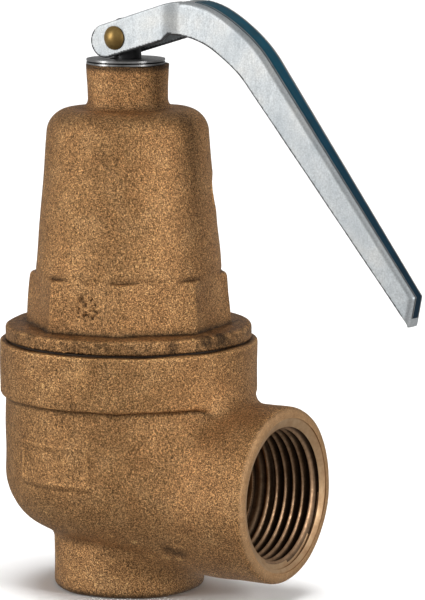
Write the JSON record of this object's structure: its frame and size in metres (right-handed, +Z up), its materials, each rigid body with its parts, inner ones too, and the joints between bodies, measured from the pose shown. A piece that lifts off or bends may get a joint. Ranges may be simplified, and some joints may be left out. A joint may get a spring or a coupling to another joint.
{
  "type": "pressure relief valve",
  "caption": "Angle-pattern bronze pressure relief valve with a threaded bottom inlet, a threaded side outlet, a spring bonnet and a bent sheet-metal test lever.",
  "frame": {"origin": "centre of the inlet face, at the bottom of the valve", "axes": "+Z up along the valve axis, +X out of the outlet, with the lever above the outlet"},
  "size_m": [0.1059, 0.0582, 0.1339],
  "materials": {
    "cast_bronze": "sand-cast, matt",
    "fibre": "matt",
    "brass": "machined",
    "rubber": "matt",
    "spring_steel": "satin",
    "zinc_plated_steel": "plated",
    "stem_steel": "dark, satin",
    "galvanised_steel": "galvanised"
  },
  "bodies": {
    "valve_body": {"body_casting": "cast_bronze", "seat_nozzle": "brass", "bonnet_casting": "cast_bronze", "body_gasket": "fibre", "slip_ring": "brass", "diaphragm": "rubber", "spring": "spring_steel", "upper_button": "zinc_plated_steel", "adjusting_screw": "brass", "cap_washer": "zinc_plated_steel", "cap_disc": "zinc_plated_steel"},
    "disc_carrier": {"disc_holder": "brass", "seat_disc": "rubber", "disc_retainer": "brass", "disc_screw": "spring_steel", "diaphragm_plate": "brass", "clamp_nut": "brass", "lower_button": "zinc_plated_steel"},
    "stem": {"stem": "stem_steel", "stem_collar": "spring_steel"},
    "lever": {"lever": "galvanised_steel", "lever_pin": "brass", "pin_washer": "spring_steel"}
  },
  "joints": [
    {"name": "disc_lift", "type": "slide", "parent": "valve_body", "child": "disc_carrier", "axis": [0, 0, 1], "range_m": [0, 0.00192], "stiffness_N_per_m": 30, "springref_m": -0.0005, "deforming": ["spring", "diaphragm"]},
    {"name": "lever_swivel", "type": "hinge", "parent": "disc_carrier", "child": "stem", "pos_m": [0, 0, 0.1], "axis": [0, 0, 1], "continuous": true},
    {"name": "lever_raise", "type": "hinge", "parent": "stem", "child": "lever", "pos_m": [0, 0, 0.1251], "axis": [-0.0462, -0.9989, 0], "range_deg": [0, 50]}
  ],
  "couplings": [
    {"joint": "disc_lift", "follows": "lever_raise", "m_per_rad": 0.0021416}
  ]
}
